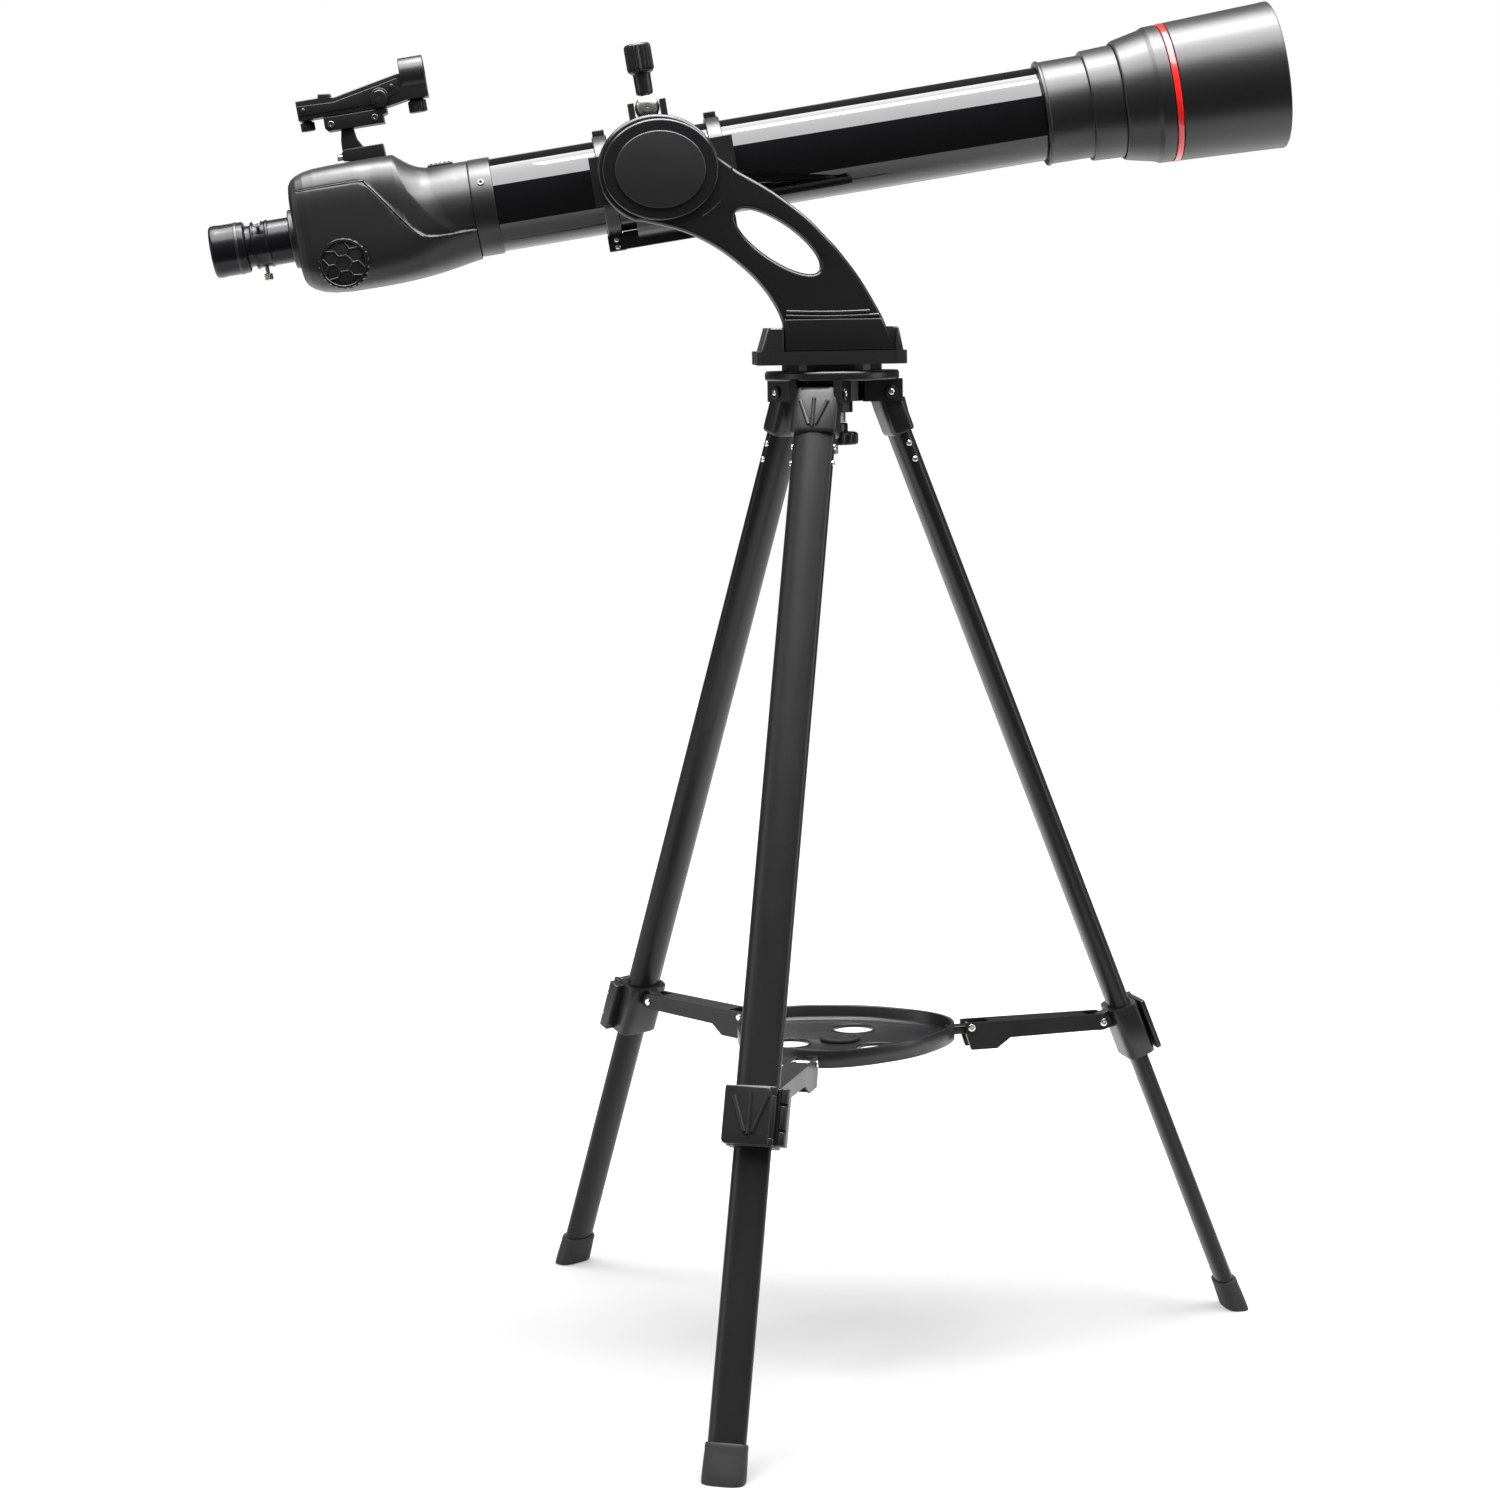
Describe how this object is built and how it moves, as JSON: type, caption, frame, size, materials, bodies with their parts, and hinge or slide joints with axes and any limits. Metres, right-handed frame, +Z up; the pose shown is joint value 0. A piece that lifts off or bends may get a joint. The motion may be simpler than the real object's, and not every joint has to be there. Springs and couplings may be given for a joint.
{
  "type": "refractor telescope on tripod",
  "caption": "Small straight-through refractor telescope with a red-dot finder on a single-arm alt-azimuth mount and a folding tripod with an accessory tray.",
  "frame": {"origin": "on the ground under the centre of the footprint's bounding box", "axes": "+Z up, +X along the telescope towards the objective, +Y away from the side with the mount arm"},
  "size_m": [0.8208, 0.5828, 1.0337],
  "materials": {
    "black_plastic": "satin",
    "gloss_black_tube": "gloss",
    "anodised_aluminium": "satin black anodised",
    "black_rubber": "matte",
    "chrome_steel": "polished",
    "red_trim": "gloss",
    "coated_glass": "coated"
  },
  "bodies": {
    "tripod_hub": {"tripod_hub": "black_plastic", "leg_front_bolt": "chrome_steel", "leg_left_bolt": "chrome_steel", "leg_right_bolt": "chrome_steel"},
    "yoke": {"mount_base": "black_plastic", "mount_arm": "black_plastic", "arm_boss_cap": "black_plastic", "azimuth_bolt": "chrome_steel"},
    "azimuth_lock": {"azimuth_lock_knob": "black_plastic"},
    "telescope": {"altitude_axle": "chrome_steel", "altitude_disc": "black_plastic", "cradle_saddle": "black_plastic", "tube_ring_front": "anodised_aluminium", "tube_ring_rear": "anodised_aluminium", "slow_motion_fork": "black_plastic", "slow_motion_trunnion": "chrome_steel", "main_tube": "gloss_black_tube", "objective_cell": "black_plastic", "dew_shield": "black_plastic", "red_ring": "red_trim", "objective_lens_front": "coated_glass", "objective_lens_rear": "coated_glass", "tube_collar": "black_plastic", "rear_housing": "black_plastic", "erecting_prism": "coated_glass", "finder_bracket": "black_plastic", "finder_body": "black_plastic", "finder_window": "coated_glass"},
    "fine_altitude": {"slow_motion_screw": "black_plastic"},
    "focus_shaft": {"focus_knob": "black_rubber"},
    "drawtube": {"drawtube": "black_plastic"},
    "eyepiece": {"eyepiece_body": "black_plastic", "eyepiece_lens": "coated_glass"},
    "screw_near": {"eyepiece_lock_screw_near": "chrome_steel"},
    "screw_low": {"eyepiece_lock_screw_low": "chrome_steel"},
    "finder_power": {"finder_power_knob": "black_plastic"},
    "finder_windage": {"finder_adjust_knob_rear": "black_plastic"},
    "finder_elevation": {"finder_adjust_knob_front": "black_plastic"},
    "tray": {"accessory_tray": "black_plastic"},
    "leg_front": {"leg_front_socket": "black_plastic", "leg_front_upper_tube": "anodised_aluminium", "leg_front_collar": "black_plastic"},
    "lower_leg_front": {"leg_front_lower_tube": "anodised_aluminium", "leg_front_foot": "black_rubber"},
    "lever_front": {"leg_front_lock_lever": "black_plastic"},
    "brace_front": {"leg_front_brace_arm": "anodised_aluminium"},
    "leg_left": {"leg_left_socket": "black_plastic", "leg_left_upper_tube": "anodised_aluminium", "leg_left_collar": "black_plastic"},
    "lower_leg_left": {"leg_left_lower_tube": "anodised_aluminium", "leg_left_foot": "black_rubber"},
    "lever_left": {"leg_left_lock_lever": "black_plastic"},
    "brace_left": {"leg_left_brace_arm": "anodised_aluminium"},
    "leg_right": {"leg_right_socket": "black_plastic", "leg_right_upper_tube": "anodised_aluminium", "leg_right_collar": "black_plastic"},
    "lower_leg_right": {"leg_right_lower_tube": "anodised_aluminium", "leg_right_foot": "black_rubber"},
    "lever_right": {"leg_right_lock_lever": "black_plastic"},
    "brace_right": {"leg_right_brace_arm": "anodised_aluminium"}
  },
  "joints": [
    {"name": "azimuth", "type": "hinge", "parent": "tripod_hub", "child": "yoke", "pos_m": [0.05848, 0.02973, 0.76], "axis": [0, 0, 1], "continuous": true},
    {"name": "azimuth_lock_turn", "type": "hinge", "parent": "yoke", "child": "azimuth_lock", "pos_m": [0.05848, 0.02973, 0.71], "axis": [0, 0, 1], "continuous": true},
    {"name": "altitude", "type": "hinge", "parent": "yoke", "child": "telescope", "pos_m": [-0.06942, 0.05973, 0.91001], "axis": [0, -1, 0], "range_deg": [-23.5, 66]},
    {"name": "fine_altitude_turn", "type": "hinge", "parent": "telescope", "child": "fine_altitude", "pos_m": [-0.08252, 0.05973, 0.99672], "axis": [-0.1494, 0, 0.9888], "continuous": true},
    {"name": "focus_turn", "type": "hinge", "parent": "telescope", "child": "focus_shaft", "pos_m": [-0.30554, 0.05973, 0.84622], "axis": [0, -1, 0], "range_deg": [0, 180]},
    {"name": "drawtube_slide", "type": "slide", "parent": "telescope", "child": "drawtube", "axis": [-0.9888, 0, -0.1494], "range_m": [0, 0.017]},
    {"name": "eyepiece_pull", "type": "slide", "parent": "drawtube", "child": "eyepiece", "axis": [-0.9888, 0, -0.1494], "range_m": [0, 0.04]},
    {"name": "screw_near_turn", "type": "hinge", "parent": "drawtube", "child": "screw_near", "pos_m": [-0.36966, 0.05973, 0.86233], "axis": [-0.096, -0.766, 0.6356], "continuous": true},
    {"name": "screw_low_turn", "type": "hinge", "parent": "drawtube", "child": "screw_low", "pos_m": [-0.36966, 0.05973, 0.86233], "axis": [0.1494, 0, -0.9888], "continuous": true},
    {"name": "finder_power_turn", "type": "hinge", "parent": "telescope", "child": "finder_power", "pos_m": [-0.27768, 0.04773, 0.96977], "axis": [0, -1, 0], "range_deg": [0, 270]},
    {"name": "finder_windage_turn", "type": "hinge", "parent": "telescope", "child": "finder_windage", "pos_m": [-0.33267, 0.05973, 0.94882], "axis": [-0.1494, 0, 0.9888], "continuous": true},
    {"name": "finder_elevation_turn", "type": "hinge", "parent": "telescope", "child": "finder_elevation", "pos_m": [-0.24991, 0.05973, 0.96335], "axis": [-0.1494, 0, 0.9888], "continuous": true},
    {"name": "leg_front_fold", "type": "hinge", "parent": "tripod_hub", "child": "leg_front", "pos_m": [0.04521, -0.00854, 0.7447], "axis": [0.9448, -0.3275, 0], "range_deg": [0, 8]},
    {"name": "leg_front_extend", "type": "slide", "parent": "leg_front", "child": "lower_leg_front", "axis": [-0.1182, -0.3411, -0.9326], "range_m": [-0.17, 0.17]},
    {"name": "leg_front_lever_open", "type": "hinge", "parent": "leg_front", "child": "lever_front", "pos_m": [-0.00911, -0.2147, 0.234], "axis": [0.1182, 0.3411, 0.9326], "range_deg": [0, 100]},
    {"name": "leg_front_brace", "type": "hinge", "parent": "leg_front", "child": "brace_front", "pos_m": [-0.01147, -0.17205, 0.24497], "axis": [0.9448, -0.3275, 0], "range_deg": [-83, 0]},
    {"name": "leg_left_fold", "type": "hinge", "parent": "tripod_hub", "child": "leg_left", "pos_m": [0.03197, 0.06035, 0.7447], "axis": [-0.7561, -0.6545, 0], "range_deg": [0, 8]},
    {"name": "leg_left_extend", "type": "slide", "parent": "leg_left", "child": "lower_leg_left", "axis": [-0.2362, 0.2729, -0.9326], "range_m": [-0.17, 0.17]},
    {"name": "leg_left_lever_open", "type": "hinge", "parent": "leg_left", "child": "lever_left", "pos_m": [-0.1194, 0.21048, 0.234], "axis": [0.2362, -0.2729, 0.9326], "range_deg": [0, 100]},
    {"name": "leg_left_brace", "type": "hinge", "parent": "leg_left", "child": "brace_left", "pos_m": [-0.08129, 0.1912, 0.24497], "axis": [-0.7561, -0.6545, 0], "range_deg": [-83, 0]},
    {"name": "leg_right_fold", "type": "hinge", "parent": "tripod_hub", "child": "leg_right", "pos_m": [0.09825, 0.03737, 0.7447], "axis": [-0.1888, 0.982, 0], "range_deg": [0, 8]},
    {"name": "leg_right_extend", "type": "slide", "parent": "leg_right", "child": "lower_leg_right", "axis": [0.3545, 0.0681, -0.9326], "range_m": [-0.17, 0.17]},
    {"name": "leg_right_lever_open", "type": "hinge", "parent": "leg_right", "child": "lever_right", "pos_m": [0.30395, 0.09341, 0.234], "axis": [-0.3545, -0.0681, 0.9326], "range_deg": [0, 100]},
    {"name": "leg_right_brace", "type": "hinge", "parent": "leg_right", "child": "brace_right", "pos_m": [0.2682, 0.07004, 0.24497], "axis": [-0.1888, 0.982, 0], "range_deg": [-83, 0]},
    {"name": "tray_drop", "type": "slide", "parent": "tripod_hub", "child": "tray", "axis": [0, 0, 1], "range_m": [-0.081, 0]}
  ],
  "couplings": [
    {"joint": "focus_turn", "follows": "drawtube_slide", "rad_per_m": 181.82},
    {"joint": "leg_left_fold", "follows": "leg_front_fold", "ratio": 1},
    {"joint": "leg_right_fold", "follows": "leg_front_fold", "ratio": 1},
    {"joint": "leg_front_brace", "follows": "leg_front_fold", "ratio": -9.13},
    {"joint": "leg_left_brace", "follows": "leg_front_fold", "ratio": -9.13},
    {"joint": "leg_right_brace", "follows": "leg_front_fold", "ratio": -9.13},
    {"joint": "tray_drop", "follows": "leg_front_fold", "m_per_rad": -0.509}
  ]
}
